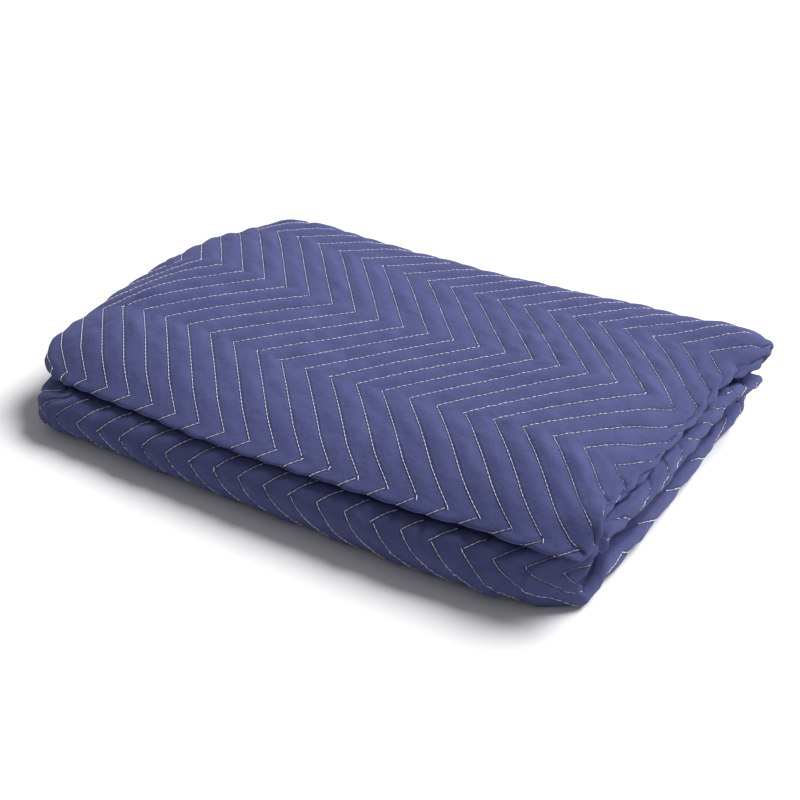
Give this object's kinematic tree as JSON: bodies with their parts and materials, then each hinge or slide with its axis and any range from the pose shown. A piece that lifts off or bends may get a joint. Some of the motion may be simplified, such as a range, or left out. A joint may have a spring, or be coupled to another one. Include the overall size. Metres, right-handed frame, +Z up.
{
  "type": "folded moving blanket",
  "caption": "Quilted furniture moving blanket folded into a flat rectangular stack, for storing, shelving or padding a load.",
  "frame": {"origin": "centre of the footprint, on the surface that the folded blanket lies on", "axes": "+X along the long side, from the end with the wide turn to the end with the tight turn; +Y from the two open front folds to the single back fold; +Z up"},
  "size_m": [0.6774, 0.4832, 0.1022],
  "materials": {
    "quilted_blanket": "matt woven polyester, zigzag quilted with pale thread"
  },
  "bodies": {
    "root": {"quilted_blanket": "quilted_blanket"}
  },
  "joints": []
}
